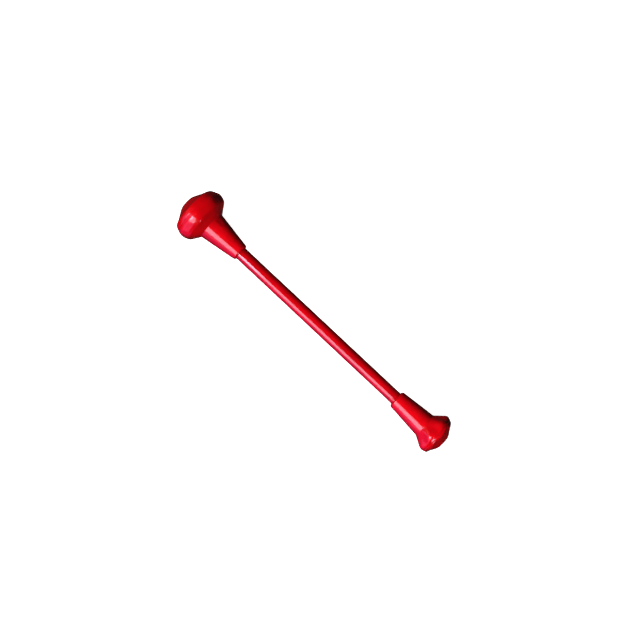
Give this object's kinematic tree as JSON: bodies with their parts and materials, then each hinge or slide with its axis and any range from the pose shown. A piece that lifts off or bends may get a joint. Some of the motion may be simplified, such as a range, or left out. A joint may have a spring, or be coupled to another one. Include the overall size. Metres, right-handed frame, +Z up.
{
  "type": "twirling baton",
  "caption": "Short straight twirling baton: painted tube with a large lobed rubber ball at one end and a smaller lobed tip at the other.",
  "frame": {"origin": "on the shaft's axis, midway between the inner rims of the two rubber ends", "axes": "+X along the shaft from the ball to the tip, +Z up with the baton held level, +Y completes a right-handed set"},
  "size_m": [0.3048, 0.0502, 0.0504],
  "materials": {
    "shaft_paint": "gloss red enamel",
    "moulded_ends": "glossy moulded red vinyl rubber",
    "weight_steel": "turned steel",
    "pin_steel": "blackened spring steel",
    "plug_nylon": "natural nylon"
  },
  "bodies": {
    "shaft": {"shaft_tube": "shaft_paint", "ball_end_weight": "weight_steel", "tip_end_weight": "weight_steel", "ball_end_pin": "pin_steel", "tip_end_pin": "pin_steel", "ball_end_plug": "plug_nylon", "tip_end_plug": "plug_nylon"},
    "ball": {"ball_end": "moulded_ends"},
    "tip": {"tip_end": "moulded_ends"}
  },
  "joints": [
    {"name": "ball_pull_off", "type": "slide", "parent": "shaft", "child": "ball", "axis": [-1, 0, 0], "range_m": [0, 0.06]},
    {"name": "tip_pull_off", "type": "slide", "parent": "shaft", "child": "tip", "axis": [1, 0, 0], "range_m": [0, 0.052]}
  ]
}
